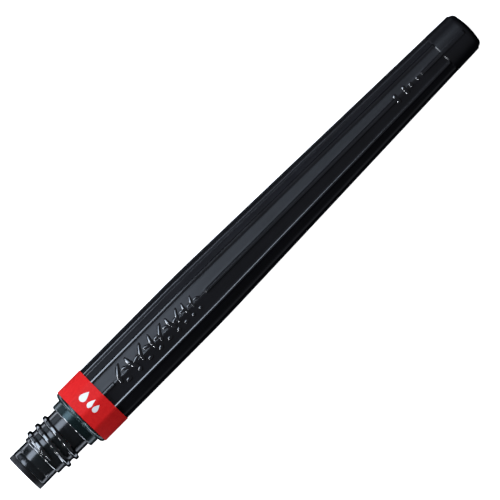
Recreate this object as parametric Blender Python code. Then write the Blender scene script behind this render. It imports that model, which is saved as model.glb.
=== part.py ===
"""Squeeze-barrel ink refill of a brush pen, lying along X with its nozzle at -X.

The ribbed barrel is a soft blow-moulded bottle. A plug with a bored nozzle closes its neck, a ball
seals the bore until a brush head's feed pipe pushes it in, and a collar on the neck is the stop that
the brush head screws up to. Lengths are in metres and +Z is up.
"""

from math import cos, degrees, pi, radians, sin

import bmesh
import bpy

MM = 0.001

# Overall sizes
OVERALL_LENGTH = 128 * MM  # nozzle face to the crown of the tail
BARREL_DIAMETER = 13.72 * MM  # over the ribs, along the straight stretch
TAIL_DIAMETER = 9.14 * MM  # over the ribs, where the long ribs end
STRAIGHT_LENGTH = 34.15 * MM  # barrel shoulder to where the taper would start with no blend
TAPER_BLEND = 8 * MM  # length over which straight turns into taper
BARREL_WALL = 0.9 * MM

# Lengths along the nozzle and neck, front to back
GASKET_THICKNESS = 1.18 * MM
SPIGOT_LENGTH = 3.69 * MM
NECK_LENGTH = 8.63 * MM
COLLAR_LENGTH = 2.03 * MM
FLARE_LENGTH = 0.82 * MM
BAND_LENGTH = 6.43 * MM

# Neck and thread
NECK_DIAMETER = 9.65 * MM
NECK_WALL = 1.45 * MM
SPIGOT_STEP = 0.36 * MM  # the spigot is this much smaller than the neck, on the radius
THREAD_HEIGHT = 0.67 * MM
THREAD_WIDTH = 1.4 * MM
THREAD_PITCH = 2.2 * MM
THREAD_TURNS = 2.4
THREAD_START = 1.04 * MM  # neck's front end to the middle of the ridge where it starts
THREAD_START_ANGLE = -15  # degrees
COLLAR_STEP = 0.73 * MM  # how far the collar stands out from the neck
FLARE_INSET = 0.12 * MM  # the flare is this much smaller than the ribs, on the radius

# Ribs
RIB_COUNT = 11
LONG_RIBS = (0, 3, 8)
RIB_HEIGHT = 0.27 * MM
RIB_WIDTH = 0.55 * MM
RIB_FOOT = 0.12 * MM  # how far each flank spreads
RIB_END = 0.4 * MM  # length over which a rib's end rises
SHORT_RIB_TO_TAIL = 7.9 * MM
LONG_RIB_TO_TAIL = 1.5 * MM
MOTIF_GAP = (9.45 * MM, 36.05 * MM)  # bare stretch of rib 0, from the barrel's shoulder
MARK_GAP_TO_TAIL = (21 * MM, 13.5 * MM)  # its second bare stretch, from the tail's crown

# Tail
TAIL_CORNER = 1.3 * MM
TAIL_CROWN = 0.3 * MM

# Film band
FILM_THICKNESS = 0.1 * MM

# Plug, ball and ink
BALL_DIAMETER = 4 * MM
SEAT_LIP = 0.25 * MM  # the bore in front of the ball is this much smaller, on the radius
NOSE_WALL = 0.4 * MM
NOSE_RECESS = 0.25 * MM
SEAT_DEPTH = 8.2 * MM  # nozzle face to the lip that the ball can't pass
SEAT_LENGTH = 4 * MM
BELL_LENGTH = 2.9 * MM  # the bore widens over this length behind the seat
BALL_TRAVEL = 8.5 * MM  # leaves the ball clear of the plug's back end
INK_BEHIND_BALL = 0.8 * MM

# Clearances between pieces
SEAM = 0.05 * MM  # faces that butt
FIT = 0.05 * MM  # one piece round another, on the radius
FILM_FIT = 0.03 * MM
INK_FIT = 0.3 * MM

# Stations along X
FRONT = -OVERALL_LENGTH / 2
GASKET_BACK = FRONT + GASKET_THICKNESS
NECK_FRONT = GASKET_BACK + SPIGOT_LENGTH
COLLAR_FRONT = NECK_FRONT + NECK_LENGTH
FLARE_FRONT = COLLAR_FRONT + COLLAR_LENGTH
SHOULDER = FLARE_FRONT + FLARE_LENGTH
BAND_BACK = SHOULDER + BAND_LENGTH
TAPER_START = SHOULDER + STRAIGHT_LENGTH
TAIL = OVERALL_LENGTH / 2
LONG_RIB_END = TAIL - LONG_RIB_TO_TAIL
SHORT_RIB_END = TAIL - SHORT_RIB_TO_TAIL

# Radii
NECK_RADIUS = NECK_DIAMETER / 2
NECK_BORE_RADIUS = NECK_RADIUS - NECK_WALL
SPIGOT_RADIUS = NECK_RADIUS - SPIGOT_STEP
COLLAR_RADIUS = NECK_RADIUS + COLLAR_STEP
STEM_RADIUS = NECK_BORE_RADIUS - FIT
BALL_RADIUS = BALL_DIAMETER / 2
FEED_RADIUS = BALL_RADIUS - SEAT_LIP
SEAT_RADIUS = BALL_RADIUS + FIT
BALL_CENTRE = FRONT + SEAT_DEPTH + (BALL_RADIUS**2 - FEED_RADIUS**2) ** 0.5 + SEAM
NOSE_RADIUS = FEED_RADIUS + NOSE_WALL

SECTOR = 360 / RIB_COUNT
ROUND_STEPS = 40


def crest_radius(x):
    """Radius over the ribs: straight, a parabola across the blend, then an even taper."""
    slope = (BARREL_DIAMETER - TAIL_DIAMETER) / 2 / (LONG_RIB_END - TAPER_START)
    into = x - (TAPER_START - TAPER_BLEND / 2)
    if into <= 0:
        fall = 0
    elif into < TAPER_BLEND:
        fall = slope * into**2 / (2 * TAPER_BLEND)
    else:
        fall = slope * (x - TAPER_START)
    return BARREL_DIAMETER / 2 - fall


def wall_radius(x):
    """Outer radius between the ribs, with the tail's rounded corner and crowned end."""
    radius = crest_radius(x) - RIB_HEIGHT
    corner = TAIL - TAIL_CROWN - TAIL_CORNER
    if x > corner:
        along = min(x - corner, TAIL_CORNER)
        radius = crest_radius(corner) - RIB_HEIGHT - TAIL_CORNER
        radius += (TAIL_CORNER**2 - along**2) ** 0.5
    return radius


def bare_stretches(rib):
    """(start, end) along X of the stretches where a rib is missing."""
    if rib:
        return []
    start, end = MOTIF_GAP
    before, after = MARK_GAP_TO_TAIL
    return [(SHOULDER + start, SHOULDER + end), (TAIL - before, TAIL - after)]


def rib_height(x, rib):
    """A rib's ends rise over RIB_END."""
    end = LONG_RIB_END if rib in LONG_RIBS else SHORT_RIB_END
    room = end - x
    for start, stop in bare_stretches(rib):
        room = min(room, max(start - x, x - stop))
    return RIB_HEIGHT * min(max(room / RIB_END, 0), 1)


def thread_height(x, angle):
    """Height of the left-handed ridge: it moves to +X as the angle grows from +Z towards +Y."""
    highest = 0
    for turn in range(int(THREAD_TURNS) + 2):
        turned = (angle - THREAD_START_ANGLE) % 360 / 360 + turn
        if turned > THREAD_TURNS:
            continue
        off = x - (NECK_FRONT + THREAD_START + THREAD_PITCH * turned)
        across = 2 * abs(off) / THREAD_WIDTH
        fade = min(turned, THREAD_TURNS - turned) * 360 / 20
        if across < 1:
            highest = max(highest, THREAD_HEIGHT * cos(across * pi / 2) * min(fade, 1))
    return highest


def barrel_angles():
    """(degrees, rib, is_crest) round one ring. Rib 0 is at +Z, so with an odd count a flat faces -Z."""
    crest = degrees(RIB_WIDTH / BARREL_DIAMETER)
    foot = degrees((RIB_WIDTH + 2 * RIB_FOOT) / BARREL_DIAMETER)
    angles = []
    for rib in range(RIB_COUNT):
        middle = rib * SECTOR
        angles += [
            (middle - foot, rib, False),
            (middle - crest, rib, True),
            (middle + crest, rib, True),
            (middle + foot, rib, False),
            (middle + SECTOR / 2, rib, False),
        ]
    return angles


def at(x, radius, angle):
    """A point on a ring, with its angle in degrees from +Z towards +Y."""
    return (x, radius * sin(radians(angle)), radius * cos(radians(angle)))


def material_for(name, colour, roughness):
    material = bpy.data.materials.new(name)
    material.use_nodes = True
    shader = material.node_tree.nodes["Principled BSDF"]
    shader.inputs["Base Color"].default_value = (*colour, 1)
    shader.inputs["Roughness"].default_value = roughness
    shader.inputs["Metallic"].default_value = 0
    return material


def add_object(name, bm, material, origin_x=0):
    """The mesh as a named object whose origin is on the X axis."""
    bmesh.ops.remove_doubles(bm, verts=bm.verts, dist=0.001 * MM)
    bmesh.ops.recalc_face_normals(bm, faces=bm.faces)
    bmesh.ops.translate(bm, verts=bm.verts, vec=(-origin_x, 0, 0))
    mesh = bpy.data.meshes.new(name)
    bm.to_mesh(mesh)
    bm.free()
    mesh.shade_smooth()
    mesh.set_sharp_from_angle(angle=radians(30))
    mesh.materials.append(material)
    made = bpy.data.objects.new(name, mesh)
    made.location = (origin_x, 0, 0)
    bpy.context.scene.collection.objects.link(made)
    return made


def loft(bm, rings):
    """Joins each ring to the next. A ring of one point is a pole."""
    made = [[bm.verts.new(point) for point in ring] for ring in rings]
    for first, second in zip(made, made[1:]):
        count = max(len(first), len(second))
        for i in range(count):
            k = (i + 1) % count
            corners = [first[i % len(first)], first[k % len(first)]]
            corners += [second[k % len(second)], second[i % len(second)]]
            bm.faces.new(dict.fromkeys(corners))


def turned(name, outline, material, origin_x=0, steps=ROUND_STEPS):
    """A solid of revolution about X. The outline's (x, radius) points run once round the section."""
    bm = bmesh.new()
    points = [bm.verts.new((x, 0, radius)) for x, radius in outline]
    edges = [bm.edges.new(pair) for pair in zip(points, points[1:])]
    if outline[0][1] or outline[-1][1]:
        edges.append(bm.edges.new((points[-1], points[0])))
    bmesh.ops.spin(
        bm, geom=points + edges, cent=(0, 0, 0), axis=(1, 0, 0), angle=2 * pi, steps=steps, use_merge=True
    )
    return add_object(name, bm, material, origin_x)


def spaced(start, end, count):
    """count + 1 values from start to end."""
    return [start + (end - start) * i / count for i in range(count + 1)]


def rib_stations():
    """Stations where a rib's end starts or stops rising."""
    found = []
    for rib in range(RIB_COUNT):
        end = LONG_RIB_END if rib in LONG_RIBS else SHORT_RIB_END
        found += [end - RIB_END, end]
        for start, stop in bare_stretches(rib):
            found += [start - RIB_END, start, stop, stop + RIB_END]
    return found


def barrel_stations():
    """Stations along the outside from the shoulder to where the tail's end face starts."""
    found = rib_stations() + [SHOULDER + SEAM, BAND_BACK]
    found += spaced(TAPER_START - TAPER_BLEND / 2, TAPER_START + TAPER_BLEND / 2, 4)
    corner = TAIL - TAIL_CROWN - TAIL_CORNER
    found += [corner + TAIL_CORNER * sin(radians(turn)) for turn in (0, 30, 55, 75, 90)]
    ordered = []
    for x in sorted(found):
        if not ordered or x - ordered[-1] > 0.02 * MM:
            ordered.append(x)
    return ordered


def make_barrel():
    """Bottle with ribs and a threaded neck, open at the neck's front end."""
    angles = barrel_angles()
    base = material_for("moulded_black_polyethylene", (0.012, 0.012, 0.014), 0.3)

    def plain(x, radius):
        return [at(x, radius, angle) for angle, _, _ in angles]

    def ribbed(x):
        wall = wall_radius(x)
        return [at(x, wall + rib_height(x, rib) * crest, angle) for angle, rib, crest in angles]

    def threaded(x):
        return [at(x, NECK_RADIUS + thread_height(x, angle), angle) for angle, _, _ in angles]

    inside_end = TAIL - TAIL_CROWN - BARREL_WALL
    inside_corner = inside_end - TAIL_CORNER
    cone_start = SHOULDER + SEAM
    cone_end = cone_start + BARREL_WALL * 1.5
    inner = [[(inside_end, 0, 0)], plain(inside_end, wall_radius(inside_corner) - BARREL_WALL - TAIL_CORNER)]
    inner += [plain(inside_corner, wall_radius(inside_corner) - BARREL_WALL)]
    for x in (TAPER_START + TAPER_BLEND / 2, TAPER_START, TAPER_START - TAPER_BLEND / 2, cone_end):
        inner.append(plain(x, wall_radius(x) - BARREL_WALL))
    inner += [plain(cone_start, NECK_BORE_RADIUS), plain(NECK_FRONT + SEAM, NECK_BORE_RADIUS)]

    first = NECK_FRONT + THREAD_START - THREAD_WIDTH / 2
    last = NECK_FRONT + THREAD_START + THREAD_PITCH * THREAD_TURNS + THREAD_WIDTH / 2
    ridge = spaced(max(first, NECK_FRONT + 2 * SEAM), last, round((last - first) / (THREAD_WIDTH / 4)))
    outer = [plain(NECK_FRONT + SEAM, NECK_RADIUS)]
    outer += [threaded(x) for x in ridge]
    outer += [plain(cone_start, NECK_RADIUS)]
    outer += [ribbed(x) for x in barrel_stations()]
    face = wall_radius(TAIL)
    outer += [plain(TAIL - TAIL_CROWN * part**2, face * part) for part in (0.7, 0.35)]
    outer += [[(TAIL, 0, 0)]]

    bm = bmesh.new()
    loft(bm, inner + outer)
    add_object("barrel", bm, base)


def make_colour_band():
    """Printed film stretched over the ribs, so it is flat between them."""
    bm = bmesh.new()
    crests = [angle for angle, _, is_crest in barrel_angles() if is_crest]
    inside = BARREL_DIAMETER / 2 + FILM_FIT
    outside = inside + FILM_THICKNESS
    front = SHOULDER + SEAM
    corners = [(front, inside), (front, outside), (BAND_BACK, outside), (BAND_BACK, inside), (front, inside)]
    loft(bm, [[at(x, radius, angle) for angle in crests] for x, radius in corners])
    add_object("colour_band", bm, material_for("printed_red_film", (0.83, 0.03, 0.025), 0.4))


def make_stop_collar():
    """Ring on the neck's back end, flaring out to the barrel's own width."""
    bore = NECK_RADIUS + FIT
    wide = BARREL_DIAMETER / 2 - FLARE_INSET
    edge = 0.2 * MM
    fillet = min(edge, max(wide - COLLAR_RADIUS, 0) / 3)
    outline = [(SHOULDER, bore), (COLLAR_FRONT, bore), (COLLAR_FRONT, COLLAR_RADIUS - edge)]
    outline += [(COLLAR_FRONT + edge, COLLAR_RADIUS), (FLARE_FRONT, COLLAR_RADIUS)]
    for turn in (0, 30, 60, 90):
        outline.append(
            (
                SHOULDER - (FLARE_LENGTH - fillet) * cos(radians(turn)),
                COLLAR_RADIUS + fillet + (wide - COLLAR_RADIUS - fillet) * sin(radians(turn)),
            )
        )
    turned("stop_collar", outline, material_for("moulded_teal_black_pp", (0.014, 0.03, 0.032), 0.25))


def make_inner_plug():
    """Nozzle spigot, a nose that carries the gasket, and a stem pressed into the neck's bore."""
    seat = FRONT + SEAT_DEPTH
    back = seat + SEAT_LENGTH + BELL_LENGTH
    opening = (SEAT_RADIUS + STEM_RADIUS) / 2
    edge = 0.15 * MM
    outline = [
        (FRONT + NOSE_RECESS, FEED_RADIUS),
        (FRONT + NOSE_RECESS, NOSE_RADIUS),
        (GASKET_BACK + SEAM, NOSE_RADIUS),
        (GASKET_BACK + SEAM, SPIGOT_RADIUS),
        (NECK_FRONT, SPIGOT_RADIUS - SEAM),
        (NECK_FRONT, STEM_RADIUS),
        (back - edge, STEM_RADIUS),
        (back, STEM_RADIUS - edge),
        (back, opening),
        (seat + SEAT_LENGTH, SEAT_RADIUS),
        (seat, SEAT_RADIUS),
        (seat, FEED_RADIUS),
    ]
    turned("inner_plug", outline, material_for("glossy_black_nozzle_plastic", (0.015, 0.017, 0.018), 0.2))


def make_face_gasket():
    """Soft washer on the nozzle's face, which the brush head presses against."""
    bore = NOSE_RADIUS + FIT
    outline = [(FRONT, bore), (FRONT, SPIGOT_RADIUS), (GASKET_BACK, SPIGOT_RADIUS), (GASKET_BACK, bore)]
    turned("face_gasket", outline, material_for("matte_black_elastomer", (0.02, 0.018, 0.018), 0.7))


def make_seal_ball():
    """Ball that stops the bore. It slides along +X when the feed pipe pushes it."""
    steps = 12
    outline = [
        (BALL_CENTRE - BALL_RADIUS * cos(pi * i / steps), BALL_RADIUS * sin(pi * i / steps))
        for i in range(1, steps)
    ]
    outline = [(BALL_CENTRE - BALL_RADIUS, 0), *outline, (BALL_CENTRE + BALL_RADIUS, 0)]
    white = material_for("natural_acetal", (0.8, 0.79, 0.74), 0.25)
    turned("seal_ball", outline, white, origin_x=BALL_CENTRE, steps=2 * steps)


def make_ink_fill():
    """The ink charge, behind the ball's travel, a little inside the barrel's wall."""
    start = BALL_CENTRE + BALL_TRAVEL + BALL_RADIUS + INK_BEHIND_BALL
    end = TAIL - TAIL_CROWN - BARREL_WALL - TAIL_CORNER
    stations = [start, TAPER_START - TAPER_BLEND / 2, TAPER_START, TAPER_START + TAPER_BLEND / 2, end]
    outline = [(start, 0)]
    outline += [(x, wall_radius(x) - BARREL_WALL - INK_FIT) for x in stations]
    outline += [(end + TAIL_CORNER - INK_FIT, wall_radius(end) - BARREL_WALL - TAIL_CORNER)]
    outline += [(end + TAIL_CORNER - INK_FIT, 0)]
    turned("ink_fill", outline, material_for("red_ink", (0.5, 0.01, 0.02), 0.1), steps=24)


for old in list(bpy.data.objects):
    bpy.data.objects.remove(old)

make_barrel()
make_stop_collar()
make_colour_band()
make_inner_plug()
make_face_gasket()
make_seal_ball()
make_ink_fill()
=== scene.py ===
# %% [markdown]
# # The ink refill of a brush pen
#
# This lesson dresses a plain engineering model of a brush pen's squeeze refill. The engineering model,
# called the frame, is loaded first and never changes. Each visible piece is then modelled again, finely,
# in the same place, gets a finish that says what it is made of, and is tied to the body it moves with.
# Everything is in metres. The refill lies along X, with its nozzle towards -X.

# %% Load the frame
from math import atan2, cos, degrees, hypot, pi, radians, sin, sqrt

import bmesh
import bpy
from mathutils import Matrix, Vector


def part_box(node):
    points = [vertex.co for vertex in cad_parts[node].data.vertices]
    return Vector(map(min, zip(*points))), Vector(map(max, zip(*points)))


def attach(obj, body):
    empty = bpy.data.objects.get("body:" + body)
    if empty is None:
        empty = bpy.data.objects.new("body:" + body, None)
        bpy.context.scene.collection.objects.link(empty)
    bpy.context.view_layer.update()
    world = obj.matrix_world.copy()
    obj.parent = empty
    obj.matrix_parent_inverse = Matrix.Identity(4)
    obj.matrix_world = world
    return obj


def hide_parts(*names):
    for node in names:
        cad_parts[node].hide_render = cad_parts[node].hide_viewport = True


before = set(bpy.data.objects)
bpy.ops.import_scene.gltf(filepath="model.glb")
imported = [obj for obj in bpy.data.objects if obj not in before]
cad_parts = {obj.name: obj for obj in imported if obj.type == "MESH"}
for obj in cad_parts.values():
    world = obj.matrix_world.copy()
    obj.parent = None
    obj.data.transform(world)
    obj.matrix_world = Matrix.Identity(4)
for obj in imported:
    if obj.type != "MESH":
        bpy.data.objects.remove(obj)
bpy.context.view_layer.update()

MM = 0.001
for name in sorted(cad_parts):
    low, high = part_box(name)
    print(name, [round(v / MM, 2) for v in low], [round(v / MM, 2) for v in high], "mm")

# %% [markdown]
# ## Places and sizes
#
# A turned object needs only two kinds of number: stations along its axis and radii. The stations come
# from the boxes of the frame's nodes, and a radius is measured as how far a node reaches from the axis
# between two stations. What the frame leaves plain, such as a rounded edge, is a named size here.

# %% Stations and radii from the frame
def reach(node, start, stop):
    """Largest distance from the axis of a node's corners between two stations."""
    corners = [v.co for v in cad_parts[node].data.vertices if start <= v.co.x <= stop]
    return max(hypot(co.y, co.z) for co in corners)


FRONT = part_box("face_gasket")[0].x
GASKET_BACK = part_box("face_gasket")[1].x
NECK_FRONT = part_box("barrel")[0].x
COLLAR_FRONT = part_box("stop_collar")[0].x
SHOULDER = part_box("stop_collar")[1].x
BAND_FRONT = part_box("colour_band")[0].x
BAND_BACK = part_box("colour_band")[1].x
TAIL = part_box("barrel")[1].x

NECK_RADIUS = reach("barrel", NECK_FRONT, NECK_FRONT + 0.04 * MM)
CREST_RADIUS = reach("barrel", SHOULDER, BAND_BACK + 1 * MM)
COLLAR_RADIUS = reach("stop_collar", COLLAR_FRONT + 0.1 * MM, COLLAR_FRONT + 0.3 * MM)
FLARE_RADIUS = reach("stop_collar", SHOULDER - 0.01 * MM, SHOULDER)
FILM_RADIUS = reach("colour_band", BAND_FRONT, BAND_BACK)
SPIGOT_RADIUS = reach("face_gasket", FRONT, GASKET_BACK)

RIB_COUNT = 11
LONG_RIBS = (0, 3, 8)
RIB_HEIGHT = 0.27 * MM
RIB_WIDTH = 1.4 * MM
RIB_CREST_WIDTH = 0.55 * MM
BARREL_WALL = 0.9 * MM
TAPER_START = SHOULDER + 34.15 * MM
TAPER_BLEND = 8 * MM
LONG_RIB_END = TAIL - 1.5 * MM
SHORT_RIB_END = TAIL - 7.9 * MM
MOTIF_SPAN = (SHOULDER + 9.45 * MM, SHOULDER + 36.05 * MM)
MARK_SPAN = (TAIL - 21 * MM, TAIL - 13.5 * MM)
TAIL_CREST_RADIUS = reach("barrel", LONG_RIB_END - 0.6 * MM, LONG_RIB_END - 0.3 * MM)
FIRST_RIB_ANGLE = 0
print("crest", round(CREST_RADIUS / MM, 3), "tail crest", round(TAIL_CREST_RADIUS / MM, 3), "mm")

# %% [markdown]
# ## Small tools
#
# Blender's operators act on what is selected, and the frame's nodes arrive selected, so every step starts
# by clearing the selection. Faces and edges are then picked in code, by where they are. Places round the
# barrel are given as an angle in degrees from +Z towards +Y.

# %% Selecting and placing
def clear_selection():
    if bpy.context.mode != "OBJECT":
        bpy.ops.object.mode_set(mode="OBJECT")
    bpy.ops.object.select_all(action="DESELECT")


def edit(piece):
    """Only this piece is selected and in edit mode, with nothing in it selected."""
    clear_selection()
    bpy.context.view_layer.objects.active = piece
    piece.select_set(True)
    bpy.ops.object.mode_set(mode="EDIT")
    bpy.ops.mesh.select_mode(type="VERT")
    bpy.ops.mesh.select_all(action="DESELECT")


def pick(piece, kind, wanted):
    """In edit mode, selects exactly the faces, edges or verts for which wanted says yes."""
    modes = {"verts": "VERT", "edges": "EDGE", "faces": "FACE"}
    bpy.ops.mesh.select_mode(type=modes[kind])
    bpy.ops.mesh.select_all(action="DESELECT")
    mesh = bmesh.from_edit_mesh(piece.data)
    count = 0
    for part in getattr(mesh, kind):
        if wanted(part):
            part.select_set(True)
            count += 1
    mesh.select_flush_mode()
    bmesh.update_edit_mesh(piece.data)
    return count


def radius_of(co):
    return hypot(co.y, co.z)


def angle_of(co):
    return degrees(atan2(co.y, co.z))


def on_barrel(x, radius, angle):
    return Vector((x, radius * sin(radians(angle)), radius * cos(radians(angle))))


def difference(first, second):
    """Smallest turn in degrees from the second angle to the first."""
    return (first - second + 180) % 360 - 180


# %% [markdown]
# Most pieces here are bodies of revolution. By hand, one would draw half of the section as a line of
# vertices and spin it. A plane whose corners are merged leaves one vertex to start from, and each extrude
# adds the next point of the outline. A section that starts and ends on the axis closes by itself, and one
# that goes round a bore is closed with an edge first.

# %% Outline and spin
def outline(name, points):
    """A new object holding a line of vertices through (x, radius) points, left in edit mode."""
    clear_selection()
    bpy.ops.mesh.primitive_plane_add(size=MM, location=(points[0][0], 0, points[0][1]))
    piece = bpy.context.active_object
    piece.name = piece.data.name = name
    bpy.ops.object.transform_apply(location=True)
    edit(piece)
    bpy.ops.mesh.select_all(action="SELECT")
    bpy.ops.mesh.merge(type="CENTER")
    for (x0, r0), (x1, r1) in zip(points, points[1:]):
        bpy.ops.mesh.extrude_region_move(TRANSFORM_OT_translate={"value": (x1 - x0, 0, r1 - r0)})
    return piece


def spun(name, points, steps, ring=False):
    """The outline turned round the X axis. A ring's outline is closed first."""
    piece = outline(name, points)
    bpy.ops.mesh.select_all(action="SELECT")
    if ring:
        ends = (Vector((points[0][0], 0, points[0][1])), Vector((points[-1][0], 0, points[-1][1])))
        pick(piece, "verts", lambda v: min((v.co - end).length for end in ends) < 0.001 * MM)
        bpy.ops.mesh.edge_face_add()
        bpy.ops.mesh.select_all(action="SELECT")
    bpy.ops.mesh.spin(steps=steps, angle=2 * pi, center=(0, 0, 0), axis=(1, 0, 0))
    bpy.ops.mesh.select_all(action="SELECT")
    bpy.ops.mesh.remove_doubles(threshold=0.002 * MM)
    bpy.ops.mesh.normals_make_consistent(inside=False)
    return piece


def arc(x, radius, bend, start, stop, steps):
    """Points of an arc of radius bend round (x, radius), angles in degrees from +X towards outwards."""
    turns = [radians(start + (stop - start) * i / steps) for i in range(steps + 1)]
    return [(x + bend * cos(turn), radius + bend * sin(turn)) for turn in turns]


def finish(piece, body, material, nodes=(), smooth=40):
    """Shades a piece, gives it its finish, ties it to its body and hides the nodes it stands for."""
    clear_selection()
    bpy.context.view_layer.objects.active = piece
    piece.select_set(True)
    bpy.ops.object.shade_smooth_by_angle(angle=radians(smooth))
    piece.data.materials.clear()
    piece.data.materials.append(material)
    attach(piece, body)
    if nodes:
        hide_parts(*nodes)
    print(piece.name, len(piece.data.vertices), "vertices")
    return piece


# %% [markdown]
# ## Finishes
#
# Colours are picked as screen values, which are not proportional to light, so one function turns a hex
# colour into the linear values that shaders use. Another adds a node with its settings and links.

# %% Colour and node tools
def linear(code):
    """An sRGB hex colour as linear red, green, blue and alpha."""
    parts = [int(code[i : i + 2], 16) / 255 for i in (1, 3, 5)]
    return (*[p / 12.92 if p <= 0.04045 else ((p + 0.055) / 1.055) ** 2.4 for p in parts], 1)


def add_node(tree, kind, settings=None, links=None, **properties):
    """A node of that kind, with socket settings, links into it and properties."""
    node = tree.nodes.new(kind)
    for key, value in properties.items():
        setattr(node, key, value)
    for socket, value in (settings or {}).items():
        node.inputs[socket].default_value = value
    for socket, source in (links or {}).items():
        tree.links.new(source, node.inputs[socket])
    return node


def new_finish(name, **shader_settings):
    """An empty finish: (material, tree, shader, a socket with the place on the piece)."""
    material = bpy.data.materials.new(name)
    material.use_nodes = True
    tree = material.node_tree
    tree.nodes.clear()
    shader = add_node(tree, "ShaderNodeBsdfPrincipled", shader_settings)
    add_node(tree, "ShaderNodeOutputMaterial", links={"Surface": shader.outputs["BSDF"]})
    place = add_node(tree, "ShaderNodeTexCoord").outputs["Object"]
    return material, tree, shader, place


def grain(tree, place, size, detail=3, stretch=(1, 1, 1)):
    """Noise whose features are about size across, in metres, stretched along each axis."""
    scale = add_node(tree, "ShaderNodeMapping", {"Scale": [1 / s for s in stretch]}, {"Vector": place})
    return add_node(
        tree,
        "ShaderNodeTexNoise",
        {"Scale": 1 / size, "Detail": detail, "Roughness": 0.55},
        {"Vector": scale.outputs["Vector"]},
    ).outputs["Fac"]


def between(tree, factor, low, high):
    """A number that runs from low to high as the factor runs over noise's usual range."""
    return add_node(
        tree,
        "ShaderNodeMapRange",
        {"From Min": 0.3, "From Max": 0.7, "To Min": low, "To Max": high},
        {"Value": factor},
    ).outputs["Result"]


def tones(tree, factor, dark, light):
    """Two colours mixed by the factor."""
    ramp = add_node(tree, "ShaderNodeValToRGB", links={"Fac": factor})
    for stop, place, code in zip(ramp.color_ramp.elements, (0.3, 0.7), (dark, light)):
        stop.position = place
        stop.color = linear(code)
    return ramp.outputs["Color"]


def bumped(tree, height, depth, strength=1.0, under=None):
    """A normal from a height of 0 to 1 that is depth metres deep."""
    links = {"Height": height}
    if under:
        links["Normal"] = under
    return add_node(
        tree, "ShaderNodeBump", {"Strength": strength, "Distance": depth}, links
    ).outputs["Normal"]


# %% [markdown]
# The barrel is blow-moulded polyethylene, coloured black right through. A blown wall copies a mould that
# was bead-blasted and polished, so it is semi-gloss and never quite even: there is a fine grain of a few
# tenths of a millimetre and long faint streaks where the hot tube was drawn along the mould. Noise on
# the piece's own coordinates makes both at their real size. The ribs and the wall beside them pressed
# hardest on the mould, so they come out burnished.

# %% Barrel plastic
def blow_moulded_polyethylene(name, rough_low, rough_high, depth, specular, index):
    material, tree, shader, place = new_finish(
        name, **{"IOR": index, "Metallic": 0.0, "Specular IOR Level": specular}
    )
    streaks = grain(tree, place, 0.9 * MM, stretch=(14, 1, 1))
    fine = grain(tree, place, 0.22 * MM, detail=2)
    handled = grain(tree, place, 6 * MM)
    tree.links.new(tones(tree, handled, "#0c0c0f", "#121216"), shader.inputs["Base Color"])
    tree.links.new(between(tree, streaks, rough_low, rough_high), shader.inputs["Roughness"])
    drawn = bumped(tree, streaks, 2.4 * depth)
    tree.links.new(bumped(tree, fine, depth, under=drawn), shader.inputs["Normal"])
    return material


barrel_plastic = blow_moulded_polyethylene(
    "blow_moulded_black_polyethylene", 0.34, 0.41, 0.0025 * MM, 0.5, 1.54
)
burnished_plastic = blow_moulded_polyethylene(
    "burnished_black_polyethylene", 0.13, 0.18, 0.001 * MM, 0.9, 1.58
)
print(barrel_plastic.name, burnished_plastic.name)

# %% [markdown]
# The neck and the nozzle plug are formed against polished steel, so they are glossier and cooler in
# their highlights, and the thread's ridge and the neck's front edge are the most polished of all. The
# collar is another moulding, in plastic with a green-blue tint that shows only where light catches it.
# The gasket is a soft elastomer, which scatters light evenly.

# %% Nozzle, collar and gasket
def polished_moulding(name, dark, light, rough_low, rough_high, depth=0.0015 * MM, **more):
    material, tree, shader, place = new_finish(name, **{"IOR": 1.5, "Metallic": 0.0, **more})
    cloudy = grain(tree, place, 1.6 * MM)
    fine = grain(tree, place, 0.15 * MM, detail=2)
    tree.links.new(tones(tree, cloudy, dark, light), shader.inputs["Base Color"])
    tree.links.new(between(tree, cloudy, rough_low, rough_high), shader.inputs["Roughness"])
    tree.links.new(bumped(tree, fine, depth), shader.inputs["Normal"])
    return material


def soft_elastomer():
    material, tree, shader, place = new_finish(
        "moulded_black_elastomer", **{"IOR": 1.52, "Metallic": 0.0, "Specular IOR Level": 0.3}
    )
    dust = grain(tree, place, 0.3 * MM, detail=5)
    tree.links.new(tones(tree, dust, "#070607", "#0e0d0e"), shader.inputs["Base Color"])
    tree.links.new(between(tree, dust, 0.42, 0.6), shader.inputs["Roughness"])
    tree.links.new(bumped(tree, dust, 0.012 * MM), shader.inputs["Normal"])
    return material


neck_plastic = polished_moulding(
    "neck_gloss_polyethylene", "#0c0e0f", "#111416", 0.16, 0.22, **{"Specular IOR Level": 0.58}
)
nozzle_plastic = polished_moulding(
    "injection_moulded_black_nozzle", "#0d0f10", "#131618", 0.16, 0.21, **{"Specular IOR Level": 0.64}
)
ridge_plastic = polished_moulding(
    "polished_edge_polyethylene",
    "#0c0e0f",
    "#111416",
    0.11,
    0.15,
    0.0003 * MM,
    **{"IOR": 1.6, "Specular IOR Level": 1.0},
)
collar_plastic = polished_moulding(
    "injection_moulded_teal_black_polypropylene",
    "#07100f",
    "#0c1716",
    0.2,
    0.3,
    **{"Specular Tint": (0.58, 0.84, 0.88, 1), "Specular IOR Level": 0.48},
)
gasket_rubber = soft_elastomer()
print(nozzle_plastic.name, collar_plastic.name, gasket_rubber.name)

# %% [markdown]
# The band is heat-shrunk film printed with solid colour. Its ink lies a little unevenly, which mottles
# the tone by a few per cent, and the film is satin. The marks on it are a second, opaque white ink.

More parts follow.
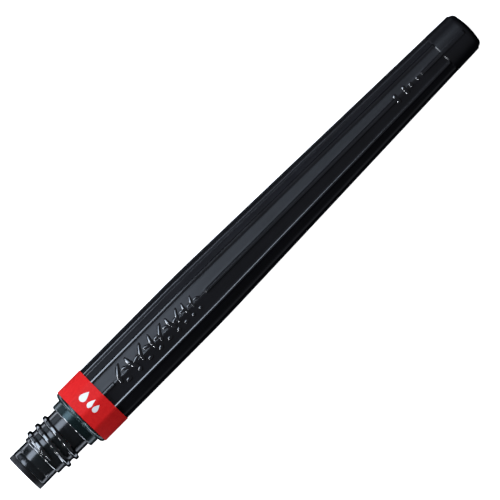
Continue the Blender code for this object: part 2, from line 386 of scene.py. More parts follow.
# %% Film, white ink, ball and ink charge
def printed_film():
    material, tree, shader, place = new_finish(
        "gravure_printed_red_shrink_film", **{"IOR": 1.5, "Metallic": 0.0, "Specular IOR Level": 0.12}
    )
    mottle = grain(tree, place, 0.5 * MM, detail=4)
    tree.links.new(tones(tree, mottle, "#dc1c1e", "#e62624"), shader.inputs["Base Color"])
    tree.links.new(between(tree, mottle, 0.46, 0.56), shader.inputs["Roughness"])
    tree.links.new(bumped(tree, mottle, 0.003 * MM), shader.inputs["Normal"])
    return material


def white_screen_ink():
    material, tree, shader, place = new_finish(
        "screen_printed_white_ink", **{"IOR": 1.48, "Metallic": 0.0, "Roughness": 0.5}
    )
    mesh_marks = grain(tree, place, 0.12 * MM)
    tree.links.new(tones(tree, mesh_marks, "#f1efee", "#fbfaf8"), shader.inputs["Base Color"])
    return material


def natural_acetal():
    material, tree, shader, place = new_finish(
        "ground_natural_acetal", **{"IOR": 1.48, "Metallic": 0.0, "Roughness": 0.22}
    )
    cloudy = grain(tree, place, 0.8 * MM)
    tree.links.new(tones(tree, cloudy, "#e2dfd6", "#ece9e2"), shader.inputs["Base Color"])
    return material


def red_ink():
    material, tree, shader, place = new_finish(
        "water_based_red_ink", **{"IOR": 1.34, "Metallic": 0.0, "Roughness": 0.04}
    )
    settled = grain(tree, place, 9 * MM)
    tree.links.new(tones(tree, settled, "#8f0a18", "#b3101c"), shader.inputs["Base Color"])
    return material


film = printed_film()
white_ink = white_screen_ink()
ball_plastic = natural_acetal()
ink = red_ink()
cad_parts["ink_fill"].data.materials.clear()
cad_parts["ink_fill"].data.materials.append(ink)
print(film.name, white_ink.name, ball_plastic.name, ink.name)

# %% [markdown]
# ## The barrel
#
# The real barrel is a blown bottle with a real wall, so its section is drawn once round: down the outside
# from the crown of the tail to the neck, and back up the inside. The outside has a vertex line wherever
# a rib starts or stops and another RIB_END_RUN beyond, so that the ribs can be pulled out of the wall
# later and slope down at their ends.

# %% Barrel outline
def crest_radius(x):
    """Radius over the ribs: straight, a parabola across the blend, then an even taper."""
    slope = (CREST_RADIUS - TAIL_CREST_RADIUS) / (LONG_RIB_END - TAPER_START)
    into = x - (TAPER_START - TAPER_BLEND / 2)
    if into <= 0:
        return CREST_RADIUS
    if into < TAPER_BLEND:
        return CREST_RADIUS - slope * into**2 / (2 * TAPER_BLEND)
    return CREST_RADIUS - slope * (x - TAPER_START)


def wall_radius(x):
    return crest_radius(x) - RIB_HEIGHT


RIB_END_RUN = 0.25 * MM
TAIL_CORNER = 1.3 * MM
TAIL_CROWN = 0.3 * MM
NECK_BORE_RADIUS = NECK_RADIUS - 1.45 * MM
COLUMNS = 6


def barrel_outline():
    corner = TAIL - TAIL_CROWN - TAIL_CORNER
    corner_radius = wall_radius(corner)
    face = corner_radius - TAIL_CORNER
    points = [(TAIL - TAIL_CROWN * part**2, face * part) for part in (0, 0.25, 0.5, 0.75)]
    points += arc(corner, face, TAIL_CORNER, 0, 90, 8)
    stops = [MOTIF_SPAN[0], MARK_SPAN[0], SHORT_RIB_END]
    starts = [MOTIF_SPAN[1], MARK_SPAN[1]]
    stations = [*stops, *[x + RIB_END_RUN for x in stops], *starts, *[x - RIB_END_RUN for x in starts]]
    stations += [BAND_BACK, SHOULDER + 2 * MM]
    stations += [TAPER_START + TAPER_BLEND * (i / 8 - 0.5) for i in range(9)]
    stations += [TAPER_START + (corner - TAPER_START) * i / 8 for i in range(2, 8)]
    points += [(x, wall_radius(x)) for x in sorted(stations, reverse=True)]
    points += [(SHOULDER + 0.05 * MM, wall_radius(SHOULDER)), (SHOULDER + 0.05 * MM, NECK_RADIUS)]
    points += arc(NECK_FRONT + 0.28 * MM, NECK_RADIUS - 0.28 * MM, 0.28 * MM, 90, 180, 8)
    points += [(NECK_FRONT, NECK_BORE_RADIUS), (SHOULDER, NECK_BORE_RADIUS)]
    inside = [SHOULDER + 1.4 * MM]
    inside += [TAPER_START - TAPER_BLEND / 2, TAPER_START, TAPER_START + TAPER_BLEND / 2]
    points += [(x, wall_radius(x) - BARREL_WALL) for x in inside]
    inner_corner = corner - BARREL_WALL
    inner_radius = wall_radius(inner_corner) - BARREL_WALL
    points += arc(inner_corner, inner_radius - 1 * MM, 1 * MM, 90, 0, 4)
    points += [(TAIL - TAIL_CROWN - BARREL_WALL, 0)]
    return points


barrel = spun("barrel_shell", barrel_outline(), COLUMNS * RIB_COUNT)
print("barrel outline", len(barrel_outline()), "points")

# %% [markdown]
# Between two ribs the wall is nearly flat across, not part of a circle, and each flat takes the light as
# one tone. The grid has six columns for each rib, so the corners between ribs only need to be drawn in
# towards the chord. The flats end where the short ribs end: the last of the tail is round.

# %% Flats between the ribs
FLATNESS = 0.92
SECTOR = 360 / RIB_COUNT
FLATS_END = SHORT_RIB_END + 0.1 * MM


def from_rib(co):
    """How many degrees a place lies from the nearest rib's middle."""
    return (angle_of(co) - FIRST_RIB_ANGLE + SECTOR / 2) % SECTOR - SECTOR / 2


def flat_share(aside):
    """The share of its radius that a place aside degrees from rib 0 keeps, lying nearly on the chord."""
    from_middle = aside % SECTOR - SECTOR / 2
    chord = cos(radians(SECTOR / 2)) / cos(radians(from_middle))
    return 1 - FLATNESS * (1 - chord)


edit(barrel)
for column in range(1, COLUMNS // 2 + 1):
    aside = column * SECTOR / COLUMNS
    moved = pick(
        barrel,
        "verts",
        lambda v: SHOULDER + 0.06 * MM < v.co.x < FLATS_END
        and radius_of(v.co) > wall_radius(v.co.x) - 0.1 * MM
        and abs(abs(from_rib(v.co)) - aside) < 1,
    )
    share = flat_share(aside)
    bpy.ops.transform.resize(value=(1, share, share), center_override=(0, 0, 0))
    print("column", column, "corners drawn in", moved, "share", round(share, 4))

# %% [markdown]
# Each rib is the same width from end to end although the barrel tapers, so it can't follow the lines of
# the spun grid, which draw together towards the tail. Bisecting planes parallel to the rib's middle cut
# lines along the wall instead. A rib rises out of the wall in a hollow curve, an arc of FLANK_RADIUS, up
# to its narrow crest. Every corner on a rib is scaled away from the axis by what the arc asks for there.

# %% Ribs
FLANK_RADIUS = 0.47 * MM
FLANK_STEPS = 5
HALF_CREST = RIB_CREST_WIDTH / 2
HALF_RIB = RIB_WIDTH / 2


def rib_spans(rib):
    """(start, stop) along X of the lengths of one rib."""
    end = LONG_RIB_END if rib in LONG_RIBS else SHORT_RIB_END
    if rib:
        return [(SHOULDER, end)]
    return [(SHOULDER, MOTIF_SPAN[0]), (MOTIF_SPAN[1], MARK_SPAN[0]), (MARK_SPAN[1], end)]


def is_outside(co):
    return co.x > SHOULDER + 0.06 * MM and radius_of(co) > wall_radius(co.x) - 0.5 * MM


def aside_of(co):
    """How far a corner lies to the side of the nearest rib's middle, in metres."""
    return abs(radius_of(co) * sin(radians(from_rib(co))))


def on_rib(co):
    rib = round((angle_of(co) - FIRST_RIB_ANGLE) / SECTOR) % RIB_COUNT
    in_span = any(start - 0.01 * MM < co.x < stop + 0.01 * MM for start, stop in rib_spans(rib))
    return in_span and is_outside(co) and aside_of(co) < HALF_RIB - 0.01 * MM


def rise_at(aside):
    """Height of a rib's surface above the wall."""
    run = HALF_RIB - max(aside, HALF_CREST)
    return FLANK_RADIUS - sqrt(FLANK_RADIUS**2 - run**2)


edit(barrel)
lines = [HALF_CREST + (HALF_RIB - HALF_CREST) * step / FLANK_STEPS for step in range(FLANK_STEPS + 1)]
for rib in range(RIB_COUNT):
    middle = FIRST_RIB_ANGLE + rib * SECTOR
    across = on_barrel(0, 1, middle + 90)
    for offset in [-line for line in reversed(lines)] + lines:
        pick(
            barrel,
            "faces",
            lambda f: is_outside(f.calc_center_median())
            and abs(difference(angle_of(f.calc_center_median()), middle)) < SECTOR / 2,
        )
        bpy.ops.mesh.bisect(plane_co=across * offset, plane_no=across, threshold=0.0001 * MM)

places = {}
for vertex in bmesh.from_edit_mesh(barrel.data).verts:
    if on_rib(vertex.co):
        rise = rise_at(aside_of(vertex.co)) / wall_radius(vertex.co.x)
        places.setdefault(round(rise, 3), []).append(vertex.index)
for rise, corners in sorted(places.items()):
    chosen = set(corners)
    pick(barrel, "verts", lambda v: v.index in chosen)
    bpy.ops.transform.resize(value=(1, 1 + rise, 1 + rise), center_override=(0, 0, 0))
print("steps up the ribs", len(places), "crest", round(rise_at(0) / MM, 3), "mm over the wall")

# %% [markdown]
# The barrel is one mesh with four finishes. Its faces take theirs by where they are: the polished front
# edge of the neck, the neck, the burnished ribs with the wall beside them, and the rest.

# %% Finishes of the barrel
def is_burnished(center):
    """On a rib or beside it."""
    return radius_of(center) > wall_radius(center.x) - 0.05 * MM and center.x < SHORT_RIB_END


finish(barrel, "refill", barrel_plastic, ["barrel"], smooth=17)

barrel.data.materials.append(burnished_plastic)
barrel.data.materials.append(neck_plastic)
barrel.data.materials.append(ridge_plastic)
for face in barrel.data.polygons:
    if face.center.x < NECK_FRONT + 0.3 * MM:
        face.material_index = 3
    elif face.center.x < SHOULDER + 0.06 * MM:
        face.material_index = 2
    elif is_burnished(face.center):
        face.material_index = 1
print("burnished faces", sum(face.material_index == 1 for face in barrel.data.polygons))

# %% [markdown]
# ## The thread
#
# The ridge is rounded like a bottle's thread. Its section is drawn and closed, and a Screw modifier
# sweeps it round the neck. It climbs the left-handed way. Its two ends sink into the neck, which is done
# by shrinking the last rings of vertices towards the root, each a little more than the one before.

# %% Thread ridge
THREAD_PITCH = 2.2 * MM
THREAD_TURNS = 2.4
THREAD_HEIGHT = 0.66 * MM
THREAD_WIDTH = 1.42 * MM
THREAD_START = NECK_FRONT + 0.95 * MM
THREAD_START_ANGLE = -21
STEPS_PER_TURN = 72
ROOT_DEPTH = 0.15 * MM


def thread_section():
    """A rounded ridge on the neck, standing where the thread starts."""
    half = THREAD_WIDTH / 2
    tip = 0.26 * MM
    flat = 0.18 * MM
    root = NECK_RADIUS - ROOT_DEPTH
    rising = [(half, -ROOT_DEPTH), (half * 0.95, 0.01 * MM)]
    rising += [(half * 0.82, 0.07 * MM), (half * 0.7, 0.18 * MM)]
    section = [(THREAD_START - run, NECK_RADIUS + height) for run, height in rising]
    section += arc(THREAD_START - flat, NECK_RADIUS + THREAD_HEIGHT - tip, tip, 170, 90, 7)
    section += arc(THREAD_START + flat, NECK_RADIUS + THREAD_HEIGHT - tip, tip, 90, 10, 7)
    return section + [(THREAD_START + run, NECK_RADIUS + height) for run, height in reversed(rising)]


thread = outline("neck_thread", thread_section())
bpy.ops.mesh.select_all(action="SELECT")
bpy.ops.mesh.edge_face_add()
clear_selection()
bpy.context.view_layer.objects.active = thread
thread.select_set(True)
sweep = thread.modifiers.new("sweep", "SCREW")
sweep.axis = "X"
sweep.angle = -2 * pi * THREAD_TURNS
sweep.screw_offset = THREAD_PITCH * THREAD_TURNS
sweep.steps = sweep.render_steps = round(STEPS_PER_TURN * THREAD_TURNS)
sweep.merge_threshold = 0.00001 * MM
bpy.ops.object.modifier_apply(modifier=sweep.name)
thread.rotation_euler.x = -radians(THREAD_START_ANGLE)
bpy.ops.object.transform_apply(rotation=True)


def turned_by(co):
    """How far along the thread a corner is, in turns, from its angle and its station."""
    turn = difference(angle_of(co), THREAD_START_ANGLE) / 360
    return turn + round((co.x - THREAD_START) / THREAD_PITCH - turn)


edit(thread)
FADE_STEPS = 7
END_SIZE = 0.42
for step in range(FADE_STEPS):
    size = END_SIZE + (1 - END_SIZE) * (step / FADE_STEPS) ** 0.6
    for turns in (step / STEPS_PER_TURN, THREAD_TURNS - step / STEPS_PER_TURN):
        pick(thread, "verts", lambda v: abs(turned_by(v.co) - turns) < 0.4 / STEPS_PER_TURN)
        angle = THREAD_START_ANGLE + 360 * turns
        root = on_barrel(THREAD_START + THREAD_PITCH * turns, NECK_RADIUS - ROOT_DEPTH, angle)
        bpy.ops.transform.resize(value=(size, size, size), center_override=root)
bpy.ops.mesh.select_all(action="SELECT")
bpy.ops.mesh.normals_make_consistent(inside=False)
finish(thread, "refill", ridge_plastic)

# %% [markdown]
# ## Relief on the barrel
#
# Where rib 0 is missing, the mould carries a decoration that stands up from the wall: a row of brushed
# sprigs, each a long leaf, a side leaf and a bud, growing smaller along the row. A stroke is easiest as a
# curve with a round bevel, because each of its points has its own thickness. The points are laid on the
# barrel's surface, and the curve sits deep enough that only its rounded back shows.

# %% Brush stroke relief
STROKE_DEPTH = 0.3 * MM


def stroke(name, points, thickness, depth=STROKE_DEPTH):
    """A raised stroke through (x, degrees from rib 0's line, share of thickness) points, sunk by depth."""
    clear_selection()
    bpy.ops.curve.primitive_nurbs_path_add()
    piece = bpy.context.active_object
    piece.name = name
    path = piece.data
    path.splines.remove(path.splines[0])
    path.splines.new("NURBS").points.add(len(points) - 1)
    line = path.splines[0]
    for point, (x, aside, share) in zip(line.points, points):
        sunk = wall_radius(x) * flat_share(aside) - depth
        point.co = (*on_barrel(x, sunk, FIRST_RIB_ANGLE + aside), 1)
        point.radius = share
    line.order_u = 4
    line.use_endpoint_u = True
    line.resolution_u = 6
    path.bevel_depth = thickness
    path.bevel_resolution = 5
    path.use_fill_caps = True
    bpy.ops.object.convert(target="MESH")
    return bpy.context.active_object


def leaf(name, x, aside, size, turn, thickness):
    """A leaf-shaped dab, size long and turned from the axis, its middle aside metres from rib 0's line."""
    points = []
    for part, share in ((-1, 0.5), (-0.85, 0.95), (-0.3, 1.0), (0.3, 0.95), (0.8, 0.75), (1, 0.3)):
        along = part * size / 2
        bow = 0.12 * size * (1 - part**2)
        dx = along * cos(radians(turn)) - bow * sin(radians(turn))
        dv = along * sin(radians(turn)) + bow * cos(radians(turn))
        points.append((x + dx, degrees((aside + dv) / wall_radius(x)), share))
    return stroke(name, points, thickness)


def join(pieces, name):
    clear_selection()
    for piece in pieces:
        piece.select_set(True)
    bpy.context.view_layer.objects.active = pieces[0]
    bpy.ops.object.join()
    pieces[0].name = pieces[0].data.name = name
    return pieces[0]


# Where each sprig starts, how long and how thick its leaf is, in mm, and its turn in degrees.
SPRIGS = [
    (0.0, 4.6, 0.66, 58),
    (3.2, 4.2, 0.65, 104),
    (6.2, 4.3, 0.63, 64),
    (9.2, 4.0, 0.62, 84),
    (11.8, 4.2, 0.6, 56),
    (14.4, 3.8, 0.58, 100),
    (16.6, 3.7, 0.56, 66),
    (18.6, 3.3, 0.54, 88),
    (20.6, 3.0, 0.52, 72),
]
RELIEF_START = FRONT + 28.4 * MM
dabs = []
for number, (start, size, thickness, turn) in enumerate(SPRIGS):
    x = RELIEF_START + start * MM
    size = size * MM
    thickness = thickness * MM
    dabs.append(leaf(f"long_leaf_{number}", x, 0.75 * MM, size, turn, thickness))
    side = (x + 0.34 * size, 0.2 * MM, 0.6 * size, turn - 95, 0.85 * thickness)
    dabs.append(leaf(f"side_leaf_{number}", *side))
    bud = (x + 0.1 * size, -1.75 * MM, 0.3 * size, turn - 60, 0.9 * thickness)
    dabs.append(leaf(f"bud_{number}", *bud))
relief = join(dabs, "brush_stroke_relief")
finish(relief, "refill", burnished_plastic)

# %% [markdown]
# Two fine raised lines along the barrel, opposite each other, show where the halves of the blow mould
# met. They are long strokes too, thin and sunk so deep that they stand only 0.05 mm out of the wall.

# %% Parting lines of the mould
PARTING_ANGLE = 54.5
PARTING_THICKNESS = 0.13 * MM
PARTING_DEPTH = 0.08 * MM


def parting_line(name, aside):
    stations = [BAND_BACK - MM + (FLATS_END - BAND_BACK) * i / 14 for i in range(15)]
    return stroke(name, [(x, aside, 1) for x in stations], PARTING_THICKNESS, PARTING_DEPTH)


first_line = parting_line("parting_line_a", PARTING_ANGLE)
second_line = parting_line("parting_line_b", PARTING_ANGLE + 180)
finish(join([first_line, second_line], "parting_lines"), "refill", burnished_plastic)

# %% [markdown]
# Near the tail, in the second gap of rib 0, the mould has two short raised bars across the barrel and
# two pips: plain marks that say which cavity the bottle came from.

# %% Tail marks
def bar(name, x, size, thickness):
    """A straight raised bar across the barrel."""
    half = degrees(size / wall_radius(x)) / 2
    shares = (1, 0.95, 0.3, -0.3, -0.95, -1)
    return stroke(name, [(x, half * share, 0.75 if abs(share) == 1 else 1) for share in shares], thickness)


marks = [
    bar("mark_bar_a", MARK_SPAN[0] + 0.25 * MM, 2.1 * MM, 0.55 * MM),
    bar("mark_bar_b", MARK_SPAN[0] + 2.75 * MM, 2.1 * MM, 0.55 * MM),
    bar("mark_pip_a", MARK_SPAN[0] + 4.3 * MM, 0.9 * MM, 0.54 * MM),
    bar("mark_pip_b", MARK_SPAN[0] + 6.2 * MM, 0.6 * MM, 0.52 * MM),
]
finish(join(marks, "tail_mould_marks"), "refill", burnished_plastic)

# %% [markdown]
# ## The stop collar
#
# The collar is a ring pressed on to the neck. A brush head screws up against its front edge. Behind, it
# flares to the width of the barrel. Its section goes once round a bore, so it is spun as a ring, and
# each edge is broken by a small arc because a moulded edge always catches a line of light.

# %% Collar
def collar_outline():
    bore = NECK_RADIUS + 0.05 * MM
    edge = 0.34 * MM
    flare_front = SHOULDER - 0.82 * MM
    fillet = 0.15 * MM
    points = [(SHOULDER, bore), (COLLAR_FRONT, bore)]
    points += arc(COLLAR_FRONT + edge, COLLAR_RADIUS - edge, edge, 180, 90, 8)
    points += arc(flare_front - fillet, COLLAR_RADIUS + fillet, fillet, 270, 360, 4)
    rise = FLARE_RADIUS - COLLAR_RADIUS - fillet
    run = SHOULDER - flare_front
    for i in range(1, 11):
        turn = radians(9 * i)
        points.append((SHOULDER - run * cos(turn), COLLAR_RADIUS + fillet + rise * sin(turn)))
    return points


collar = spun("collar_ring", collar_outline(), 128, ring=True)
finish(collar, "refill", collar_plastic, ["stop_collar"])
collar.data.materials.append(ridge_plastic)
for face in collar.data.polygons:
    if face.center.x < COLLAR_FRONT + 0.25 * MM:
        face.material_index = 1

# %% [markdown]
# ## The colour band
#
# The film touches the barrel only on the ribs, so round the barrel it is a narrow strip over each rib's
# crest and a wide flat between ribs. A cylinder with one side for each strip and flat has these corners
# when its vertices are turned to the ribs' edges. The corners are then bevelled a little, because a
# film can't fold sharply, and the wall gets the film's thickness from a Solidify modifier.

# %% Band
FILM_THICKNESS = 0.1 * MM


def make_band():
    clear_selection()
    bpy.ops.mesh.primitive_cylinder_add(
        vertices=2 * RIB_COUNT,
        radius=FILM_RADIUS - 0.02 * MM,
        depth=BAND_BACK - BAND_FRONT,
        end_fill_type="NOTHING",
        location=((BAND_FRONT + BAND_BACK) / 2, 0, 0),
        rotation=(0, pi / 2, 0),
    )
    piece = bpy.context.active_object
    piece.name = piece.data.name = "printed_band"
    bpy.ops.object.transform_apply(location=True, rotation=True)
    edit(piece)
    pitch = 360 / (2 * RIB_COUNT)
    corner = degrees(RIB_CREST_WIDTH / (2 * CREST_RADIUS))
    verts = bmesh.from_edit_mesh(piece.data).verts
    first = min((difference(angle_of(v.co), FIRST_RIB_ANGLE) for v in verts), key=abs)
    for side in (0, 1):
        wanted = FIRST_RIB_ANGLE + (corner if side else -corner)
        present = FIRST_RIB_ANGLE + first + side * pitch
        pick(
            piece,
            "verts",
            lambda v: abs(difference(angle_of(v.co), present) % (2 * pitch)) < 1
            or abs(difference(angle_of(v.co), present) % (2 * pitch) - 2 * pitch) < 1,
        )
        bpy.ops.transform.rotate(
            value=radians(wanted - present), orient_axis="X", center_override=(0, 0, 0)
        )
    return piece


band = make_band()
print("band corners", sorted({round(angle_of(v.co), 1) for v in bmesh.from_edit_mesh(band.data).verts})[:6])
pick(band, "edges", lambda e: len(e.link_faces) == 2)
bpy.ops.mesh.bevel(offset=0.1 * MM, segments=3)
clear_selection()
bpy.context.view_layer.objects.active = band
band.select_set(True)
thick = band.modifiers.new("film", "SOLIDIFY")
thick.thickness = FILM_THICKNESS
thick.offset = -1
bpy.ops.object.modifier_apply(modifier=thick.name)
finish(band, "refill", film, ["colour_band"], smooth=12)

# %% [markdown]
# The band's print is three ink drops, which say nothing but what the refill holds. A drop starts as a
# disc of triangles. Its upper point is pulled out with proportional editing, so that the neighbours
# follow less and less. Cut finer, it is laid on the band by a Shrinkwrap modifier, a hundredth of a
# millimetre proud, which is how thick such ink really lies.

# %% Drops printed on the band
def drop(name, aside, size):
    """A printed drop centred aside degrees from rib 0, its point towards the tail."""
    clear_selection()
    angle = FIRST_RIB_ANGLE + aside
    middle = (BAND_FRONT + BAND_BACK) / 2 - 0.1 * size
    bpy.ops.mesh.primitive_circle_add(vertices=32, radius=size * 0.32, fill_type="TRIFAN")
    piece = bpy.context.active_object
    piece.name = piece.data.name = name
    edit(piece)
    bpy.ops.mesh.select_all(action="SELECT")
    bpy.ops.mesh.subdivide(number_cuts=4)
    pick(piece, "verts", lambda v: v.co.x > size * 0.319)
    bpy.ops.transform.translate(
        value=(size * 0.42, 0, 0),
        use_proportional_edit=True,
        proportional_edit_falloff="SHARP",
        proportional_size=size * 0.5,
    )
    clear_selection()
    piece.select_set(True)
    bpy.context.view_layer.objects.active = piece
    piece.matrix_world = Matrix.Translation(on_barrel(middle, FILM_RADIUS + MM, angle)) @ Matrix.Rotation(
        radians(-angle), 4, "X"
    )
    bpy.ops.object.transform_apply(location=True, rotation=True)
    wrap = piece.modifiers.new("on the band", "SHRINKWRAP")
    wrap.target = band
    wrap.wrap_method = "NEAREST_SURFACEPOINT"
    wrap.wrap_mode = "ABOVE_SURFACE"
    wrap.offset = 0.012 * MM
    bpy.ops.object.modifier_apply(modifier=wrap.name)
    return piece


DROPS = [(20.5, 2.5 * MM), (5, 2.2 * MM), (-9, 1.9 * MM)]
drops = [drop(f"drop_{number}", aside, size) for number, (aside, size) in enumerate(DROPS)]
print_on_band = join(drops, "ink_drop_print")
finish(print_on_band, "refill", white_ink)

# %% [markdown]
# ## The nozzle
#
# The plug's visible part is the smooth spigot in front of the neck. The gasket is a soft washer on its
# face, held by the plug's nose, which stands in the washer's hole and ends a little below its face. Down
# the bore one can see the ball. The fine lines round the spigot are where the mould's inserts met.

# %% Plug, gasket and ball
FEED_RADIUS = 1.75 * MM
SEAT_RADIUS = 2.05 * MM
NOSE_RADIUS = FEED_RADIUS + 0.4 * MM
STEM_RADIUS = NECK_BORE_RADIUS - 0.05 * MM
SEAT_START = FRONT + 8.2 * MM
WITNESS_LINE = FRONT + 2.75 * MM


def plug_outline():
    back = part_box("inner_plug")[1].x
    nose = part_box("inner_plug")[0].x
    front = GASKET_BACK + 0.05 * MM
    edge = 0.08 * MM
    groove = 0.03 * MM
    points = arc(nose + edge, NOSE_RADIUS - edge, edge, 180, 90, 3)
    points += [(front, NOSE_RADIUS)]
    points += arc(front + edge, SPIGOT_RADIUS - edge, edge, 180, 90, 4)
    points += [(WITNESS_LINE - groove, SPIGOT_RADIUS - 0.01 * MM), (WITNESS_LINE, SPIGOT_RADIUS - groove)]
    points += [(WITNESS_LINE + groove, SPIGOT_RADIUS - 0.012 * MM)]
    points += [(NECK_FRONT - 0.05 * MM, SPIGOT_RADIUS - 0.05 * MM), (NECK_FRONT - 0.05 * MM, STEM_RADIUS)]
    points += arc(back - 0.15 * MM, STEM_RADIUS - 0.15 * MM, 0.15 * MM, 90, 0, 3)
    points += [(back, (SEAT_RADIUS + STEM_RADIUS) / 2), (SEAT_START + 4 * MM, SEAT_RADIUS)]
    points += [(SEAT_START, SEAT_RADIUS), (SEAT_START, FEED_RADIUS), (nose + 0.2 * MM, FEED_RADIUS)]
    points += [(nose, FEED_RADIUS + 0.12 * MM)]
    return points


def gasket_outline():
    bore = NOSE_RADIUS + 0.05 * MM
    edge = 0.1 * MM
    points = [(GASKET_BACK, bore), (FRONT + edge, bore), (FRONT, bore + edge)]
    points += arc(FRONT + edge, SPIGOT_RADIUS - edge, edge, 180, 90, 4)
    return points + arc(GASKET_BACK - 0.04 * MM, SPIGOT_RADIUS - 0.04 * MM, 0.04 * MM, 90, 0, 3)


plug = spun("nozzle_plug", plug_outline(), 128, ring=True)
finish(plug, "refill", nozzle_plastic, ["inner_plug"])
gasket = spun("nozzle_gasket", gasket_outline(), 128, ring=True)
finish(gasket, "refill", gasket_rubber, ["face_gasket"])


def make_ball():
    low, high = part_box("seal_ball")
    radius = (high.x - low.x) / 2
    clear_selection()
    bpy.ops.mesh.primitive_uv_sphere_add(segments=64, ring_count=32, radius=radius)
    piece = bpy.context.active_object
    piece.name = piece.data.name = "ground_seal_ball"
    piece.location = (low + high) / 2
    bpy.ops.object.transform_apply(location=True)
    edit(piece)
    pick(piece, "edges", lambda e: all(abs(v.co.z) < 0.01 * MM for v in e.verts))
    bpy.ops.mesh.bevel(offset=0.05 * MM, segments=2)
    return piece


finish(make_ball(), "seal", ball_plastic, ["seal_ball"])

# %% [markdown]
# ## The studio
#
# The refill lies on a white table. Its barrel touches the table along the taper, so the table leans by
# the taper's slope. It glows a little, so that it stays white under dim light. It doesn't show in
# reflections, as if dark cards stood round the refill, because a glossy black tube otherwise loses its
# dark outline.

# %% Table
def lowest(start, stop):
    """Lowest corner of the barrel between two stations."""
    corners = [v.co for v in barrel.data.vertices if start - 0.01 * MM < v.co.x < stop]
    return min(corners, key=lambda co: co.z).copy()


near = lowest(TAPER_START + TAPER_BLEND / 2, TAPER_START + TAPER_BLEND / 2 + 2 * MM)
far = lowest(SHORT_RIB_END - 3 * MM, SHORT_RIB_END)
lean = atan2(far.z - near.z, far.x - near.x)
clear_selection()
bpy.ops.mesh.primitive_circle_add(vertices=96, radius=6, fill_type="NGON")
table = bpy.context.active_object
table.name = "white_table"
drop_below = near.z - sin(lean) * near.x - 0.02 * MM
table.matrix_world = Matrix.Translation((0, 0, drop_below)) @ Matrix.Rotation(-lean, 4, "Y")
bpy.ops.object.transform_apply(location=True, rotation=True)
paper, tree, shader, place = new_finish(
    "matt_white_table",
    **{
        "Base Color": linear("#f4f4f4"),
        "Roughness": 0.9,
        "Specular IOR Level": 0.1,
        "Emission Color": (1, 1, 1, 1),
        "Emission Strength": 0.97,
    },
)
table.data.materials.append(paper)
table.visible_glossy = False
table.visible_diffuse = False
print("table leans", round(degrees(lean), 2), "degrees")

# %% [markdown]
# The camera looks square on to the axis from rib 0's side, a long way off so that the refill keeps its
# proportions, and it is rolled so that the refill climbs to the right.
#
# A glossy black part shows little but the lights that it mirrors, so each light is placed by the facet
# that is to mirror it. The key softbox stands on the far side and lights one flat of the wall and the
# flank of each rib that leans its way, and two strips carry that on towards the tail. Three lights beyond
# the nozzle pick out the thread and the rims, and low strips and a panel draw the lines along both sides.

# %% Camera and lights
TOWARDS = on_barrel(0, 1, FIRST_RIB_ANGLE)
ACROSS = on_barrel(0, 1, FIRST_RIB_ANGLE + 90)
ROLL = radians(45.21)
LENS = 700
SENSOR = 36
FRAME_WIDTH = 101.6 * MM
right = Vector((cos(ROLL), 0, 0)) - sin(ROLL) * ACROSS
up = Vector((sin(ROLL), 0, 0)) + cos(ROLL) * ACROSS

camera_data = bpy.data.cameras.new("camera")
camera_data.lens = LENS
camera_data.sensor_width = SENSOR
camera_data.clip_start = 0.01
camera = bpy.data.objects.new("camera", camera_data)
bpy.context.scene.collection.objects.link(camera)
# Aimed a little off the middle, so that the margins round the refill are even.
aim = right * 0.68 * MM + up * 0.06 * MM
facing = Matrix((right, up, TOWARDS)).transposed().to_4x4()
camera.matrix_world = Matrix.Translation(aim + TOWARDS * FRAME_WIDTH * LENS / SENSOR) @ facing
bpy.context.scene.camera = camera


def softbox(name, place, target, width, length, radiance, tint):
    """A rectangular light at place that faces target, its length along the refill's axis."""
    light = bpy.data.lights.new(name, "AREA")
    light.shape = "RECTANGLE"
    light.size = length
    light.size_y = width
    light.energy = 4 * radiance * width * length
    light.color = linear(tint)[:3]
    lamp = bpy.data.objects.new(name, light)
    bpy.context.scene.collection.objects.link(lamp)
    back = (place - target).normalized()
    side = Vector((1, 0, 0)) - back * back.x
    side.normalize()
    turned = Matrix((side, back.cross(side), back)).transposed().to_4x4()
    lamp.matrix_world = Matrix.Translation(place) @ turned
    lamp.visible_camera = False
    return lamp


OVERHEAD_DISTANCE = 0.46


def overhead(name, angle, start, stop, width, radiance):
    """A light angle degrees round from the camera's side, between two stations."""
    place = on_barrel((start + stop) / 2, OVERHEAD_DISTANCE, FIRST_RIB_ANGLE + angle)
    softbox(name, place, Vector((place.x, 0, 0)), width, stop - start, radiance, "#dcebff")


overhead("key_softbox", 46.5, -0.49, -0.03, 0.25, 5.4)
overhead("key_tail_strip", 48, -0.03, 0.04, 0.05, 5)
overhead("low_tail_strip", 66.5, -0.005, 0.06, 0.03, 0.8)


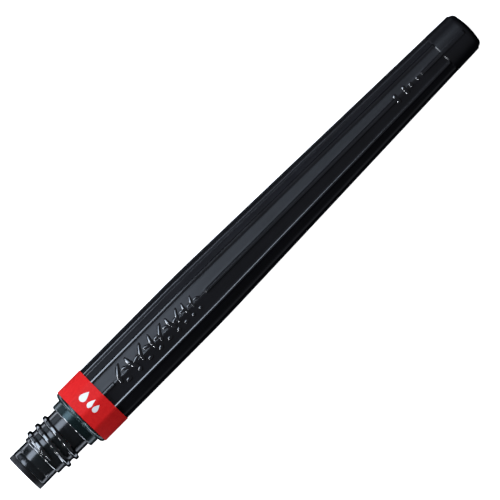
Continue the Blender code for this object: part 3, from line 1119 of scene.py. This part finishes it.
def nozzle_light(name, aside, above, width, height, radiance):
    """A light 1 m off beyond the nozzle: degrees round towards the near side, degrees above the axis."""
    flat = Vector((-1, 0, 0)) * cos(radians(aside)) - ACROSS * sin(radians(aside))
    place = flat * cos(radians(above)) + TOWARDS * sin(radians(above))
    softbox(name, place, Vector((FRONT, 0, 0)), height, width, radiance, "#f2f7ff")


nozzle_light("nozzle_light_near", 20, 20, 0.12, 0.1, 85)
nozzle_light("nozzle_light_middle", -4, 20, 0.1, 0.1, 40)
nozzle_light("nozzle_strip_far", -28, 20, 0.5, 0.14, 16)
table_height = drop_below + 0.4 * MM


def reflector(name, start, stop, near, far, radiance):
    """A glowing strip lying on the table between two stations and two distances from the axis."""
    middle = Vector(((start + stop) / 2, (near + far) / 2, table_height))
    softbox(name, middle, middle + Vector((0, 0, 1)), abs(far - near), stop - start, radiance, "#e6efff")


reflector("far_reflector_nozzle", -66 * MM, -48 * MM, 15 * MM, 27 * MM, 2.6)
reflector("near_reflector_nozzle", -66 * MM, -48.5 * MM, -27 * MM, -15 * MM, 1.8)
reflector("nozzle_end_reflector", -130 * MM, -70 * MM, -36 * MM, 36 * MM, 8)
reflector("far_reflector_low", -40 * MM, 66 * MM, 15 * MM, 19 * MM, 0.3)
reflector("far_reflector_high", -40 * MM, 66 * MM, 28 * MM, 34 * MM, 0.8)
far_panel = Vector((-58 * MM, 100 * MM, 8 * MM))
softbox("far_panel", far_panel, Vector((far_panel.x, 0, 0)), 50 * MM, 26 * MM, 0.85, "#dcebff")

# %% [markdown]
# The room is dark at the table's height and brightens to a dim, even tone above it.

# %% Room
world = bpy.data.worlds.new("studio")
bpy.context.scene.world = world
world.use_nodes = True
room = world.node_tree
looking = add_node(room, "ShaderNodeTexCoord").outputs["Generated"]
height = add_node(room, "ShaderNodeSeparateXYZ", links={"Vector": looking}).outputs["Z"]
brightness = add_node(
    room,
    "ShaderNodeMapRange",
    {"From Min": -0.02, "From Max": 0.14, "To Min": 0.0, "To Max": 0.12},
    {"Value": height},
).outputs["Result"]
room.nodes["Background"].inputs["Color"].default_value = linear("#eef2ff")
room.links.new(brightness, room.nodes["Background"].inputs["Strength"])
bpy.context.scene.view_settings.view_transform = "Standard"
